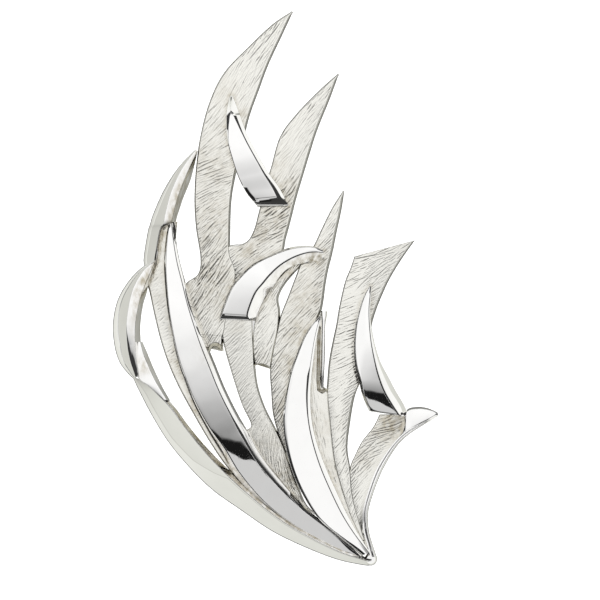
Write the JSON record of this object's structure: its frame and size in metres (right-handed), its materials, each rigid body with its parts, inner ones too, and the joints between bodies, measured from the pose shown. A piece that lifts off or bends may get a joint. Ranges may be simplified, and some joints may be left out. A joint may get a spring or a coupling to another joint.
{
  "type": "magnetic brooch",
  "caption": "Openwork silver brooch of textured plumes and polished crescents sweeping up from one rounded point, held to cloth by a magnet bar on its back.",
  "frame": {"origin": "middle of the magnet bar's flat back face, which lies against the cloth", "axes": "+Z out of the front towards the viewer, +Y up the brooch towards the tallest plume's tip, +X to the viewer's right"},
  "size_m": [0.0407, 0.0693, 0.0067],
  "materials": {
    "polished_silver": "bright polished silver",
    "textured_silver": "hand-textured silver with fine cut strokes, faintly tarnished in the recesses",
    "magnet_plating": "satin nickel plating"
  },
  "bodies": {
    "root": {"silver_body": "polished_silver", "magnet_clasp": "magnet_plating"}
  },
  "joints": []
}
